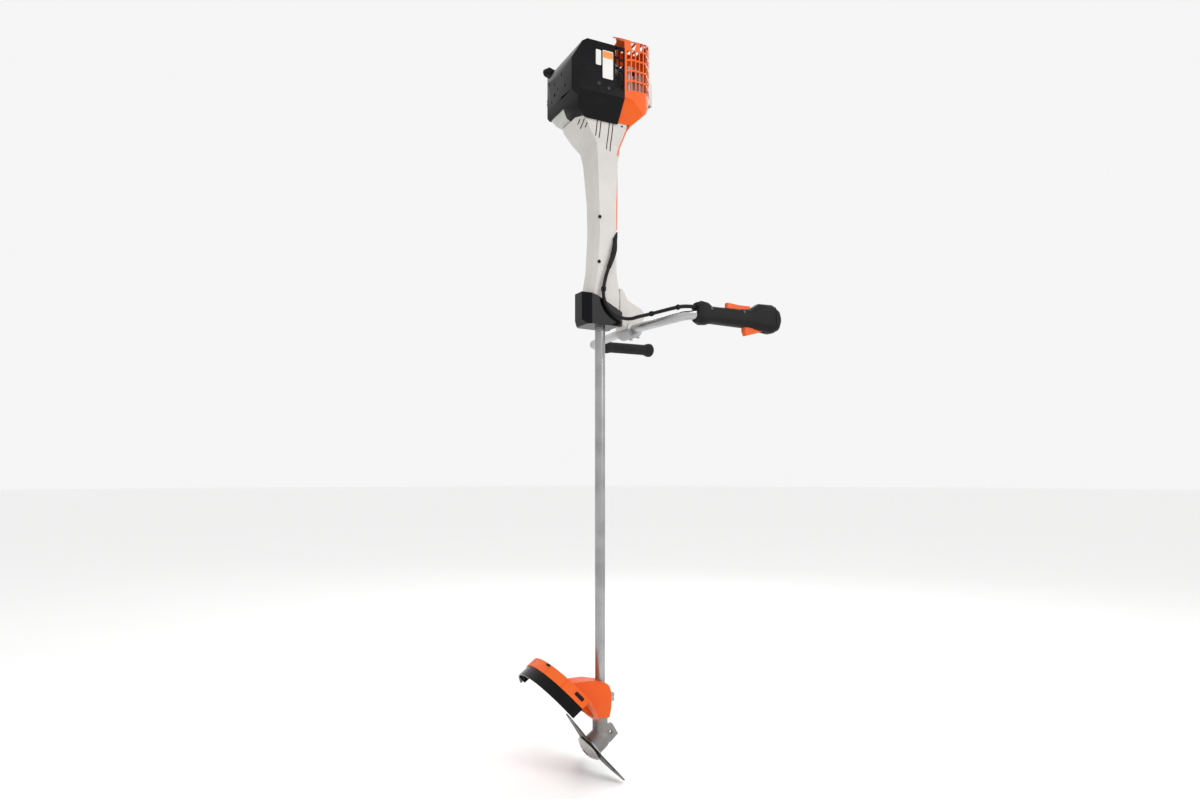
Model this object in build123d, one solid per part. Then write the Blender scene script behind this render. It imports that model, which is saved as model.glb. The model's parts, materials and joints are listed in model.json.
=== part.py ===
from build123d import *
import math
import os

# A petrol brush cutter with a two-handed bar, hanging upright.
# +Z runs along the drive tube towards the engine, +X is up and -Y is right when it is carried.
# The origin is on the tube's axis, where the tube leaves the front collar.
# Lengths are in millimetres and angles in degrees.

# Drive tube and drive line
tube_radius = 12.7
tube_wall = 1.6
tube_top = 450.0
tube_bottom = -975.0
shaft_radius = 4.0
run_fit = 0.05
bushing_length = 30.0
bushing_heights = (-860.0, -560.0, -260.0, 40.0, 340.0)

# Gear head and cutting tool
head_angle = 37.0
gear_height = -1030.0
lug_bore_radius = 4.5
lug_thickness = 10.0
lug_centre = (29.0, -1018.5)
arm_to_blade = 31.0
blade_radius = 120.0
blade_thickness = 3.0
blade_teeth = 3
blade_rest_angle = -48.0
blade_bore_radius = 12.7
rider_radius = 36.0

# Deflector
guard_radius = 212.0
guard_forward = 18.0
guard_side = 64.0
guard_wall = 3.0
guard_base = 20.0
guard_height = 27.0
guard_near_angle = -52.0
guard_far_angle = 48.0
skirt_depth = 30.0
guard_screws = (-914.0, -950.0)

# Handlebar
bar_radius = 11.0
bar_wall = 2.0
bar_height = -7.0
bar_centre = 83.0
bar_reach = 258.0
bar_corner = 100.0
bar_right_end = 238.0
bar_left_end = 292.0
bar_bends = (38.0, 150.0, 150.0, 38.0)
grip_start = 139.0
grip_end = 302.0
handle_start = 113.0
handle_screws = (146.0, 237.0)
handle_screw_rise = 14.0
trigger_pivot = (300.0, -24.0)
lockout_pivot = (259.0, 12.0)
stop_centre = (322.0, 2.0)
cable_radius = 4.5
cable_arc_share = 0.42

# Engine, measured along the tube's axis
clutch_height = 482.0
drum_radius = 33.0
bell_radius = 40.0
case_bottom = 516.0
case_top = 632.0
case_radius = 44.0
bore_radius = 20.0
crank_throw = 16.0
cylinder_height = 585.0
fin_radius = 29.0
flywheel_height = 635.0
pulley_height = 655.0
pulley_radius = 28.0
cover_wall = 3.0
cover_half_width = 100.0
cover_seam = 650.0
starter_top = 684.0
split_line = 16.0
pull_angle = 113.6
cap_height = 578.0

gear_axis = Vector(-math.cos(math.radians(head_angle)), 0, -math.sin(math.radians(head_angle)))
gear_point = Vector(0, 0, gear_height)
back_direction = Vector(-math.sin(math.radians(head_angle)), 0, math.cos(math.radians(head_angle)))


def cylinder_along(start, direction, radius, length):
    """A round bar from a point along a direction."""
    plane = Plane(origin=start, z_dir=direction)
    return plane * Cylinder(radius, length, align=(Align.CENTER, Align.CENTER, Align.MIN))


def ring_along(start, direction, outer, inner, length):
    """A sleeve from a point along a direction."""
    return cylinder_along(start, direction, outer, length) - cylinder_along(start, direction, inner, length)


def disc(outer, low, high, inner=0.0):
    """A disc or ring about the tube's axis between two heights."""
    solid = cylinder_along((0, 0, low), (0, 0, 1), outer, high - low)
    if inner > 0:
        solid -= cylinder_along((0, 0, low), (0, 0, 1), inner, high - low)
    return solid


def block(low, high):
    """A box between its lowest and highest corners."""
    size = [b - a for a, b in zip(low, high)]
    middle = [(a + b) / 2 for a, b in zip(low, high)]
    return Pos(*middle) * Box(*size)


def prism_y(outline, low, high):
    """An outline of (x, z) points, carried from one y to another."""
    face = Plane.XZ.offset(-high) * Polygon(*outline, align=None)
    return extrude(face, amount=high - low, dir=(0, -1, 0))


def prism_x(outline, low, high):
    """An outline of (y, z) points, carried from one x to another."""
    face = Plane.YZ.offset(low) * Polygon(*outline, align=None)
    return extrude(face, amount=high - low, dir=(1, 0, 0))


def prism_z(outline, low, high):
    """An outline of (x, y) points, carried from one height to another."""
    face = Plane.XY.offset(low) * Polygon(*outline, align=None)
    return extrude(face, amount=high - low, dir=(0, 0, 1))


def eight_sided(height, low, high, half_width, low_cut, high_cut):
    """A flat eight-sided section: a rectangle with its four corners cut off."""
    outline = [
        (low, -half_width + low_cut),
        (low + low_cut * 0.6, -half_width),
        (high - high_cut, -half_width),
        (high, -half_width + high_cut),
        (high, half_width - high_cut),
        (high - high_cut, half_width),
        (low + low_cut * 0.6, half_width),
        (low, half_width - low_cut),
    ]
    return Plane.XY.offset(height) * Polygon(*outline, align=None)


def straight_loft(sections):
    """Flat-sided solids from each section to the next, joined."""
    solid = loft(sections[:2], ruled=True)
    for first, second in zip(sections[1:], sections[2:]):
        solid += loft([first, second], ruled=True)
    return solid


def tube_along(points, radii, radius):
    """A round rod along straight runs joined by arcs."""
    path = FilletPolyline(*points, radius=radii)
    section = Plane(origin=path @ 0, z_dir=path % 0) * Circle(radius)
    return sweep(section, path=path)


def arc_radii(points, share):
    """For each corner, a share of its shorter run divided by the tangent of half its turn."""
    radii = []
    for before, corner, after in zip(points, points[1:], points[2:]):
        run_in = Vector(*corner) - Vector(*before)
        run_out = Vector(*after) - Vector(*corner)
        half_turn = math.radians(run_in.get_angle(run_out) / 2)
        radii.append(share * min(run_in.length, run_out.length) / math.tan(half_turn))
    return radii


def largest_solid(shape):
    """The biggest solid of a cut that may leave slivers."""
    return max(shape.solids(), key=lambda solid: solid.volume)


def save(name, shape):
    """One STEP file for one sub-part."""
    shape.label = name
    export_step(shape, f"parts/{name}.step")


def group(solids):
    """Identical pieces that stay separate solids in one sub-part."""
    return Compound(children=[piece for solid in solids for piece in solid.solids()])


# ---- drive tube and drive line ----

def make_drive_tube():
    return disc(tube_radius, tube_bottom, tube_top, tube_radius - tube_wall)


def make_bushings():
    inner = shaft_radius + run_fit
    outer = tube_radius - tube_wall
    rings = [disc(outer, z, z + bushing_length, inner) for z in bushing_heights]
    return group(rings)


def make_drive_shaft():
    return disc(shaft_radius, gear_height + 52, clutch_height - 22)


def make_clutch_drum():
    drum = disc(drum_radius, clutch_height - 16, clutch_height + 14)
    drum -= disc(drum_radius - 2.5, clutch_height - 12, clutch_height + 14)
    hub = disc(8.0, clutch_height - 22, clutch_height - 16)
    return drum + hub


def make_clutch_bell():
    """The cast bell that joins the tube to the crankcase round the clutch."""
    neck = 18.0
    cone_low = 440.0
    cone_high = 466.0
    middle = (cone_low + cone_high) / 2
    wall = 3.5
    outer = disc(neck, 415, cone_low)
    outer += Pos(0, 0, middle) * Cone(neck, bell_radius, cone_high - cone_low)
    outer += disc(bell_radius, cone_high, case_bottom)
    inner = disc(tube_radius, 415, cone_low)
    inner += Pos(0, 0, middle) * Cone(tube_radius, bell_radius - wall, cone_high - cone_low)
    inner += disc(bell_radius - wall, cone_high, case_bottom)
    return outer - inner


# ---- crankcase, crankshaft, cylinder ----

def make_crankcase():
    case = disc(case_radius, case_bottom, case_top)
    case += block((0, -28, cylinder_height - 28), (44, 28, cylinder_height + 28))
    case -= disc(31.0, cylinder_height - 23, cylinder_height + 23)
    case -= disc(14.0, case_bottom, case_top)
    case -= cylinder_along((0, 0, cylinder_height), (1, 0, 0), bore_radius + 3, 60)
    return case


def make_ball_bearings():
    """The bearings of the crankshaft, of the pinion and of the output shaft."""
    crank = [disc(14.0, z, z + 8, 8.0 + run_fit) for z in (case_bottom + 4, case_top - 12)]
    pinion = [disc(13.0, z, z + 8, 6.0 + run_fit) for z in (gear_height + 27, gear_height + 42)]
    output = ring_along(on_gear_axis(13), gear_axis, 22.0, 8.0 + run_fit, 9)
    return group(crank + pinion + [output])


def make_crankshaft():
    pin_half = 10.0
    web = 9.0
    low = cylinder_height - pin_half - web
    high = cylinder_height + pin_half + web
    shaft = disc(8.0, clutch_height - 8, low)
    shaft += disc(8.0, high, pulley_height - 8)
    shaft += disc(29.0, low, low + web)
    shaft += disc(29.0, high - web, high)
    shaft += cylinder_along((crank_throw, 0, low + web), (0, 0, 1), 7.0, 2 * pin_half)
    shaft += disc(12.0, clutch_height - 10, clutch_height + 8)
    shaft += disc(26.0, clutch_height + 8, clutch_height + 12)
    return shaft


def make_clutch_shoes():
    """Two curved shoes that fly out against the drum."""
    ring = disc(drum_radius - 4, clutch_height - 10, clutch_height + 8, 12.0)
    gap = block((-3, -40, clutch_height - 12), (3, 40, clutch_height + 10))
    return group([ring - gap])


def make_cylinder():
    """A finned barrel and head, open towards the crankcase."""
    axis_point = (44, 0, cylinder_height)
    barrel = cylinder_along(axis_point, (1, 0, 0), bore_radius + 5, 54)
    for index in range(9):
        start = (50 + index * 5.2, 0, cylinder_height)
        barrel += cylinder_along(start, (1, 0, 0), fin_radius, 2.2)
    barrel -= cylinder_along(axis_point, (1, 0, 0), bore_radius, 46)
    barrel -= cylinder_along(axis_point, (1, 0, 0), 5.0, 60)
    return barrel


def make_piston():
    crown = 80.0
    skirt = 28.0
    start = (crown - skirt, 0, cylinder_height)
    piston = cylinder_along(start, (1, 0, 0), bore_radius - run_fit, skirt)
    return piston - cylinder_along(start, (1, 0, 0), bore_radius - 3, skirt - 5)


def make_connecting_rod():
    """The rod with its pin in the piston, drawn above the circle that the crank pin sweeps."""
    rod = cylinder_along((64, 0, cylinder_height - 5), (0, 0, 1), 8.0, 10)
    rod += block((25, -4, cylinder_height - 4), (60, 4, cylinder_height + 4))
    return rod + cylinder_along((64, 0, cylinder_height - 16.5), (0, 0, 1), 4.0, 33)


def make_spark_plug():
    plug = cylinder_along((90, 0, cylinder_height), (1, 0, 0), 5.0, 8)
    hexagon = Plane(origin=(98, 0, cylinder_height), z_dir=(1, 0, 0)) * RegularPolygon(8, 6)
    plug += extrude(hexagon, 7, dir=(1, 0, 0))
    return plug + cylinder_along((105, 0, cylinder_height), (1, 0, 0), 4.0, 9)


def make_plug_boot():
    """The rubber boot with its moulded-on lead, down to the ignition coil."""
    boot = cylinder_along((105.5, 0, cylinder_height), (1, 0, 0), 7.5, 14)
    boot += cylinder_along((112, 0, cylinder_height), (0, 0, 1), 6.0, 16)
    boot -= cylinder_along((105, 0, cylinder_height), (1, 0, 0), 4.0, 9)
    route = [(112, 0, cylinder_height + 12), (112, 0, 628), (92, 0, 640), (64.2, 0, 640)]
    return boot + tube_along(route, [12, 20], 3.0)


def make_flywheel():
    rim_radius = 46.0
    blade_count = 14
    wheel = disc(16.0, flywheel_height, flywheel_height + 16, 8.0)
    wheel += disc(rim_radius, flywheel_height, flywheel_height + 5, 8.0)
    for index in range(blade_count):
        fin = block((15, -1.2, flywheel_height), (rim_radius, 1.2, flywheel_height + 14))
        wheel += Rot(0, 0, index * 360 / blade_count) * fin
    return wheel


def make_ignition_coil():
    coil = block((46, -12, flywheel_height), (54, 12, flywheel_height + 5))
    coil += block((50, -9, flywheel_height - 5), (64, 9, flywheel_height + 11))
    coil -= disc(46.6, flywheel_height - 8, flywheel_height + 20)
    return coil


# ---- fuel, air and exhaust ----

def make_muffler():
    box = block((20, -88, 530), (82, -42, 616)) & shroud_body(6)
    box -= block((24, -84, 534), (78, -46, 612)) & shroud_body(9)
    box += block((58, -42, cylinder_height - 12), (80, -29.5, cylinder_height + 12))
    box -= cylinder_along((68, -47, cylinder_height), (0, 1, 0), 7.0, 30)
    box -= cylinder_along((44, -96, 600), (0, 1, 0), 6.0, 14)
    return box


def make_carburettor():
    body = block((50, 50, cylinder_height - 17), (86, 78, cylinder_height + 17))
    body += cylinder_along((68, 29.5, cylinder_height), (0, 1, 0), 13.0, 20.5)
    body -= cylinder_along((68, 29, cylinder_height), (0, 1, 0), 8.0, 41)
    body -= cylinder_along((78, 73.5, cylinder_height - 7), (0, 1, 0), 8.6, 6)
    body -= cylinder_along((68, 62, cylinder_height), (0, 0, 1), 8.0, 18)
    body += cylinder_along((43, 64, cylinder_height), (1, 0, 0), 2.5, 8)
    return body


def make_throttle_lever():
    pivot = (44, 64, cylinder_height)
    lever = cylinder_along(pivot, (1, 0, 0), 6.0, 3)
    lever += block((44, 61, cylinder_height - 20), (47, 67, cylinder_height))
    return lever - cylinder_along((43, 64, cylinder_height), (1, 0, 0), 2.5 + run_fit, 6)


def make_fuel_tank():
    tank = block((-110, -54, 490), (-53, 88, 604)) & cover_body(4)
    tank -= block((-110, -51, 490), (-56, 85, 601)) & cover_body(7)
    tank -= cylinder_along((-80, 80, cap_height), (0, 1, 0), 13.0, 12)
    return tank + ring_along((-80, 85, cap_height), (0, 1, 0), 17.0, 13.0, 7)


def make_tank_cap():
    cap = cylinder_along((-80, 92.2, cap_height), (0, 1, 0), 20.0, 13)
    cap -= block((-102, 100, cap_height - 2.5), (-84, 106, cap_height + 2.5))
    cap -= block((-76, 100, cap_height - 2.5), (-58, 106, cap_height + 2.5))
    return cap


def make_filter_base():
    plate = prism_z([(50, 41), (146, 38), (154, 58), (136, 88), (62, 94), (50, 86)], 604, 609)
    return plate - cylinder_along((68, 62, 600), (0, 0, 1), 8.0, 12)


def make_air_filter():
    filter_block = prism_z([(54, 46), (140, 46), (138, 80), (60, 88)], 609, 634)
    return filter_block - cylinder_along((68, 62, 609), (0, 0, 1), 9.0, 18)


def filter_section(height, inset):
    """A section of the filter cover, smaller by an inset."""
    outline = [
        (44 + inset, 37 + inset),
        (158 - inset, 28 + inset),
        (177 - inset, 44),
        (170 - inset, 74 - inset),
        (142 - inset, 96 - inset),
        (60, 100 - inset),
        (44 + inset, 90 - inset),
    ]
    return Plane.XY.offset(height) * Polygon(*outline, align=None)


def make_filter_cover():
    outer = straight_loft([filter_section(600, 0), filter_section(660, 0), filter_section(684, 14)])
    inner = straight_loft([filter_section(600, 3), filter_section(658, 3), filter_section(680, 16)])
    return outer - inner


def make_choke_lever():
    knob = cylinder_along((59, 79, cylinder_height + 6), (0, 1, 0), 4.0, 14)
    return knob + block((55, 89, cylinder_height - 14), (63, 93, cylinder_height + 10))


def make_primer_bulb():
    height = cylinder_height - 7
    return Pos(78, 78, height) * Sphere(8.0) & block((60, 78, height - 10), (96, 90, height + 10))


# ---- recoil starter ----

def make_rope_pulley():
    pulley = disc(pulley_radius + 4, pulley_height, pulley_height + 3)
    pulley += disc(pulley_radius + 4, pulley_height + 9, pulley_height + 12)
    pulley += disc(pulley_radius - 3, pulley_height, pulley_height + 12)
    return pulley - disc(7.0 + run_fit, pulley_height - 1, pulley_height + 13)


def make_recoil_spring():
    """A flat spiral of half circles, each a little larger than the last."""
    pitch = 2.6
    half_turns = 9
    height = pulley_height + 13
    radius = 9.5
    centre = 0.0
    spring = None
    for index in range(half_turns):
        side = 1 if index % 2 == 0 else -1
        ring = ring_along((centre, 0, height), (0, 0, 1), radius + 0.4, radius - 0.4, 5)
        half = ring & block((-60, 0 if side > 0 else -60, height), (60, 60 if side > 0 else 0, height + 5))
        spring = half if spring is None else spring + half
        radius += pitch / 2
        centre += side * pitch / 2
    return spring


def pull_direction():
    angle = math.radians(pull_angle)
    return Vector(math.cos(angle), math.sin(angle), 0)


def rope_point(distance):
    """A point on the rope's straight line, from where it leaves the pulley."""
    direction = pull_direction()
    tangent = Vector(-direction.Y, direction.X, 0) * pulley_radius
    return tangent + direction * distance + Vector(0, 0, pulley_height + 6)


def make_starter_rope():
    return cylinder_along(rope_point(22), pull_direction(), 1.8, 102)


def make_starter_grip():
    centre = rope_point(139)
    plane = Plane(origin=centre, x_dir=Vector(0, 0, 1).cross(pull_direction()), z_dir=pull_direction())
    grip = plane * extrude(RectangleRounded(46, 19, 9), 9, both=True)
    stem = cylinder_along(rope_point(124), pull_direction(), 7.0, 6)
    return grip + stem


# ---- covers ----

def cover_body(wall):
    """The faceted body of the engine cover, smaller all round by a wall."""
    w = wall
    half = cover_half_width - w
    side = [(-112 + w, 536), (-112 + w, 612), (-98, 641 - w), (-84, cover_seam), (160, cover_seam),
            (160, 480 + w), (-72, 482 + w), (-96, 496 + w)]
    front = [(-62 + w, 480 + w), (-half, 530), (-half, cover_seam), (half, cover_seam), (half, 552),
             (50 - w, 484 + w)]
    plan = [(-112 + w, -72 + w), (-100 + w, -half), (160, -half), (160, half), (-100 + w, half),
            (-112 + w, 72 - w)]
    body = prism_y(side, -120, 120)
    body &= prism_x(front, -120, 170)
    body &= prism_z(plan, 470, 660)
    return body


def cover_grille():
    """Two columns of four windows on the right side, beside the shroud."""
    windows = []
    for column in range(2):
        left = -10.0 + column * 12.5
        for row in range(4):
            low = 552.0 + row * 24.5 - column * 5
            windows.append(block((left, -110, low), (left + 10, -90, low + 21)))
    return windows


def make_engine_cover():
    cover = cover_body(0) - cover_body(cover_wall)
    cover &= block((-120, -120, 470), (split_line, 120, cover_seam))
    for window in cover_grille():
        cover -= window
    for y, z in ((-14, 596), (8, 570), (28, 590), (44, 552), (62, 604)):
        slot = Plane.YZ.offset(-116) * Pos(y, z) * SlotOverall(9, 3.5, rotation=78)
        cover -= extrude(slot, 8)
    cover -= disc(60.0, 470, 488)
    cover -= cylinder_along((-80, 90, cap_height), (0, 1, 0), 24.0, 20)
    cover -= block((-120, -8, 476), (-60, 120, 518))
    cover -= straight_loft([eight_sided(470, -92, 60, 62.2, 24, 10),
                            eight_sided(489, -92, 60, 62.2, 24, 10)])
    return largest_solid(cover)


def starter_outline(wall, inset):
    """The rear cover's outline, smaller by a wall and an inset, up to the shroud."""
    half = cover_half_width - wall - inset
    left = -84 + wall + inset * 0.7
    return [(left, -half + 14), (left + 14, -half), (split_line, -half), (split_line, half),
            (left + 14, half),
            (left, half - 14)]


def make_starter_cover():
    """The rear cover that holds the recoil starter, with a ring of air slots."""
    base = starter_outline(0, 0)
    outer = loft([Plane.XY.offset(cover_seam) * Polygon(*base, align=None),
                  Plane.XY.offset(starter_top - 6) * Polygon(*starter_outline(0, 56), align=None)],
                 ruled=True)
    inner = loft([Plane.XY.offset(cover_seam) * Polygon(*starter_outline(5, 0), align=None),
                  Plane.XY.offset(starter_top - 10) * Polygon(*starter_outline(4, 56), align=None)],
                 ruled=True)
    outer += disc(40.0, cover_seam, starter_top)
    inner += disc(37.0, cover_seam, starter_top - 4)
    cover = outer - inner + disc(7.0, pulley_height - 3, starter_top - 2)
    cover -= cylinder_along(rope_point(60), pull_direction(), 3.5, 90)
    for index in range(7):
        slot = block((22, -2.5, starter_top - 8), (34, 2.5, starter_top + 4))
        cover -= Rot(0, 0, 90 + index * 30) * slot
    return largest_solid(cover)


def shroud_body(wall):
    """The faceted roof over the cylinder, smaller all round by a wall."""
    w = wall
    side = [(split_line, 478 + w), (50 - w, 481 + w), (92 - w, 520), (125 - w, 570), (134 - w, 628),
            (138 - w, 688), (130 - w, 712 - w), (split_line, 712 - w)]
    plan = [(split_line, -cover_half_width + w), (40, -98 + w), (86, -78 + w), (115, -42 + w * 0.7),
            (136 - w, -12), (136 - w, 18), (130, 32 - w), (100, 32 - w), (40, cover_half_width - w),
            (split_line, cover_half_width - w)]
    front = [(-56 + w, 478), (-cover_half_width + w, 534), (-cover_half_width + w, 672 - w),
             (-70, 690 - w), (-30, 712 - w), (30, 712 - w), (cover_half_width - w, 690 - w),
             (cover_half_width - w, 534), (56 - w, 478)]
    body = prism_y(side, -120, 120)
    body &= prism_z(plan, 470, 720)
    body &= prism_x(front, 0, 170)
    return body


def shroud_slots():
    """Slanted rows of tall slots, seen on the right slope of the roof."""
    slots = []
    for column in range(7):
        left = 22.0 + column * 14.5
        rows = 4 if column < 3 else 5
        for row in range(rows):
            low = 550.0 + row * 25.0 + column * 3.5
            outline = [(left, low), (left + 10.5, low + 4), (left + 10.5, low + 25), (left, low + 21)]
            slots.append(prism_y(outline, -120, 10))
    return slots


def make_shroud():
    shroud = shroud_body(0) - shroud_body(cover_wall)
    shroud -= disc(41.0, 640, 720)
    for slot in shroud_slots():
        shroud -= slot
    notch = [(27, 720), (35, 654), (45, 650), (60, 690), (64, 720)]
    shroud -= prism_y(notch, -110, -30)
    for left in (70, 87, 104):
        shroud -= block((left, -64, 690), (left + 12, 24, 715))
    shroud -= straight_loft([filter_section(592, -2), filter_section(662, -2), filter_section(688, 12)])
    shroud -= block((42, 30, 540), (170, 120, 606))
    shroud -= straight_loft([eight_sided(470, -92, 58, 62.2, 24, 10),
                             eight_sided(489, -92, 58, 62.2, 24, 10)])
    return largest_solid(shroud)


def housing_sections(wall):
    """Sections of the light housing round the tube, from its front end to the engine."""
    w = wall
    table = [
        (4, -50, 40, 34, 16, 8),
        (76, -41, 42, 34, 15, 8),
        (130, -31, 33, 34, 14, 8),
        (226, -25, 33, 34, 13, 9),
        (305, -27, 33, 34, 13, 9),
        (400, -35, 34, 40, 15, 10),
        (436, -43, 37, 46, 18, 11),
        (460, -66, 45, 54, 22, 12),
        (488, -86, 55, 61, 24, 13),
    ]
    return [eight_sided(z, low + w, high - w, half - w, cut_low, cut_high)
            for z, low, high, half, cut_low, cut_high in table]


def make_housing():
    shell = straight_loft(housing_sections(0)) - straight_loft(housing_sections(2.6))
    slots = []
    for x, low, high in ((-39, 449, 484), (-29, 446, 484), (-6, 424, 484), (4, 421, 484)):
        slots.append(block((x, -80, low), (x + 3, -30, high)))
    for index in range(3):
        x = -78.0 + index * 7
        slots.append(block((x, -56, 466), (x + 2.5, -30, 484)))
    for slot in slots:
        shell -= slot
    shell -= spine_region(0.1)
    for z in (90, 250, 425):
        boss = disc(20.0, z, z + 12, tube_radius)
        shell += boss
    shell -= disc(tube_radius, -10, 412)
    shell -= disc(20.5, 412, 441)
    return shell - tube_along(cable_route_rear(), arc_radii(cable_route_rear(),
                                                            cable_arc_share), cable_radius + 0.2)


def make_housing_halves():
    shell = make_housing()
    right = largest_solid(shell & block((-120, -90, 0), (120, 0, 500)))
    left = largest_solid(shell & block((-120, 0, 0), (120, 90, 500)))
    return right, left


def spine_region(gap):
    """The upper end of the housing's top, where the coloured spine widens to its full width."""
    return prism_y([(24 - gap, 416 - gap), (43 - gap, 472), (50 - gap, 492),
                    (90, 492), (90, 416 - gap)], -62, 62)


def make_spine():
    """The coloured strip on top of the housing, which widens into a cap below the shroud."""
    gap = 0.1
    outline = [(33 + gap, 232), (38, 240), (39, 305), (39, 400), (41, 436), (50, 462), (64, 488), (76, 504),
               (70, 504), (54, 490), (44, 460), (36, 436), (34.5, 421), (35.6, 415.5), (34 + gap, 400),
               (33 + gap, 305)]
    cap = (straight_loft(housing_sections(0)) - straight_loft(housing_sections(2.6))) & spine_region(0)
    return largest_solid(prism_y(outline, -20, 20) + cap - shroud_body(-gap))


def make_front_collar():
    """The black collar that closes the housing's front end round the tube."""
    side = [(-60, 8), (-50, -4), (40, -6), (48, 0), (48, 27), (12, 46), (-26, 66), (-60, 76)]
    plan = [(-60, -20), (-42, -40), (40, -40), (48, -32), (48, 32), (40, 40), (-42, 40), (-60, 20)]
    collar = prism_y(side, -50, 50) & prism_z(plan, -10, 90)
    inner_side = [(-56, 10), (-48, 0), (70, 0), (70, 100), (-56, 100)]
    inner_plan = [(-52, -18), (-40, -36), (52, -36), (52, 36), (-40, 36), (-52, 18)]
    collar -= prism_y(inner_side, -50, 50) & prism_z(inner_plan, -10, 110)
    collar -= disc(tube_radius, -12, 12)
    collar -= block((36, -26, -10), (60, 26, 60))
    return largest_solid(collar)


def make_buffers():
    """Rubber rings that hold the tube in the housing."""
    return group([disc(19.5, z, z + 10, tube_radius) for z in (60, 200, 380)])


# ---- handlebar ----

def make_bar_support():
    """The arm on the housing that carries the bar, with the fixed half of the clamp."""
    arm = [(44, 92), (44, 6), (58, 0), (62, bar_height), (104, bar_height), (108, 12), (116, 34), (104, 46),
           (66, 64), (50, 92)]
    support = prism_y(arm, -25, 25)
    support += cylinder_along((bar_centre, -31, bar_height), (0, 1, 0), 21.0, 62)
    support &= block((40, -40, bar_height), (130, 40, 100))
    support -= prism_y([(52, 80), (52, 22), (98, 22), (100, 36), (66, 54)], -21, 21)
    support -= cylinder_along((bar_centre, -40, bar_height), (0, 1, 0), bar_radius + run_fit, 80)
    for y in (-18, 18):
        support -= cylinder_along((bar_centre + 16, y, bar_height - 30), (0, 0, 1), 2.6, 44)
    return largest_solid(support)


def make_clamp_cap():
    cap = cylinder_along((bar_centre, -31, bar_height), (0, 1, 0), 21.0, 62)
    cap &= block((50, -40, bar_height - 30), (120, 40, bar_height - 0.4))
    cap -= cylinder_along((bar_centre, -40, bar_height), (0, 1, 0), bar_radius + run_fit, 80)
    for y in (-18, 18):
        cap -= cylinder_along((bar_centre + 16, y, bar_height - 30), (0, 0, 1), 2.5, 44)
        cap -= cylinder_along((bar_centre + 16, y, bar_height - 30), (0, 0, 1), 5.0, 14)
    return cap


def screw_along(seat, direction, radius, length):
    """A screw with its head standing on a seat and its shank going on along a direction."""
    shank = cylinder_along(seat, direction, radius, length)
    start = Vector(*seat) - Vector(*direction) * 4
    return shank + cylinder_along(start, direction, radius * 1.8, 4)


def make_frame_screws():
    """The screws of the bar clamp, of the gear head and of the deflector."""
    clamp = [screw_along((bar_centre + 16, y, bar_height - 16), (0, 0, 1), 2.5, 28) for y in (-18, 18)]
    guard = [screw_along((20, 0, z), (-1, 0, 0), 2.5, 7) for z in guard_screws]
    return group(clamp + guard)


def bar_route():
    return [
        (bar_right_end, -bar_reach, bar_height),
        (bar_corner, -bar_reach, bar_height),
        (bar_centre, -70, bar_height),
        (bar_centre, 70, bar_height),
        (bar_corner, bar_reach, bar_height),
        (bar_left_end, bar_reach, bar_height),
    ]


def make_handlebar():
    rod = tube_along(bar_route(), bar_bends, bar_radius)
    return rod - tube_along(bar_route(), bar_bends, bar_radius - bar_wall)


def make_left_grip():
    """A soft sleeve with a flared guard at each end."""
    profile = [(grip_start, bar_radius), (grip_start, 17), (grip_start + 6, 19), (grip_start + 16, 18),
               (grip_start + 24, 15.5), (grip_end - 26, 15.5), (grip_end - 14, 20), (grip_end - 6, 20),
               (grip_end, 15), (grip_end, 0), (bar_left_end, 0), (bar_left_end, bar_radius)]
    section = Plane.XY * Polygon(*profile, align=None)
    return Pos(0, bar_reach, bar_height) * revolve(section, Axis.X)


def handle_station(x, low, high, half_width):
    """A rounded section across the control handle."""
    plane = Plane(origin=(x, -bar_reach, (low + high) / 2), x_dir=(0, 1, 0), z_dir=(1, 0, 0))
    corner = min(half_width, (high - low) / 2) * 0.8
    return plane * RectangleRounded(2 * half_width, high - low, corner)


def handle_body():
    """The outer form of the control handle, along the bar's right end."""
    stations = [
        handle_station(handle_start, -25, 20, 17),
        handle_station(124, -30, 24, 19),
        handle_station(140, -29, 22, 19),
        handle_station(152, -25, 14, 17.5),
        handle_station(232, -27, 14, 18),
        handle_station(262, -27, 17, 19),
        handle_station(286, -32, 32, 21),
        handle_station(322, -36, 33, 21),
        handle_station(342, -28, 22, 18),
        handle_station(350, -14, 10, 12),
    ]
    return straight_loft(stations)


def handle_cavities():
    """Room in the control handle for the bar, the levers and the button."""
    y = -bar_reach
    room = tube_along(bar_route(), bar_bends, bar_radius)
    room += cylinder_along((handle_start, y, 10), (1, 0, 0), cable_radius + 0.3, 10)
    room += block((242, y - 8, -60), (306, y + 8, 9))
    room += block((195, y - 6.5, 5.5), (266, y + 6.5, 40))
    room += block((266, y - 8, -22), (338, y + 8, 20))
    room += cylinder_along((stop_centre[0], y, stop_centre[1]), (0, 1, 0), 6.4, 30)
    for x in handle_screws:
        room += cylinder_along((x, y - 30, bar_height + handle_screw_rise), (0, 1, 0), 2.0, 42)
        room += cylinder_along((x, y - 30, bar_height + handle_screw_rise), (0, 1, 0), 4.0, 16)
    return room


def make_handle_halves():
    body = handle_body()
    room = handle_cavities()
    outer = body & block((100, -300, -60), (360, -bar_reach, 60))
    inner = body & block((100, -bar_reach, -60), (360, -220, 60))
    return largest_solid(outer - room), largest_solid(inner - room)


def make_handle_fasteners():
    """The handle's two screws, and the pins that the trigger and the lockout turn on."""
    y = -bar_reach
    screws = [screw_along((x, y - 14, bar_height + handle_screw_rise),
                          (0, 1, 0), 2.0, 20) for x in handle_screws]
    low = cylinder_along((trigger_pivot[0], y - 8, trigger_pivot[1]), (0, 1, 0), 2.0, 16)
    high = cylinder_along((lockout_pivot[0], y - 6.5, lockout_pivot[1]), (0, 1, 0), 2.0, 13)
    return group(screws + [low, high])


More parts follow.
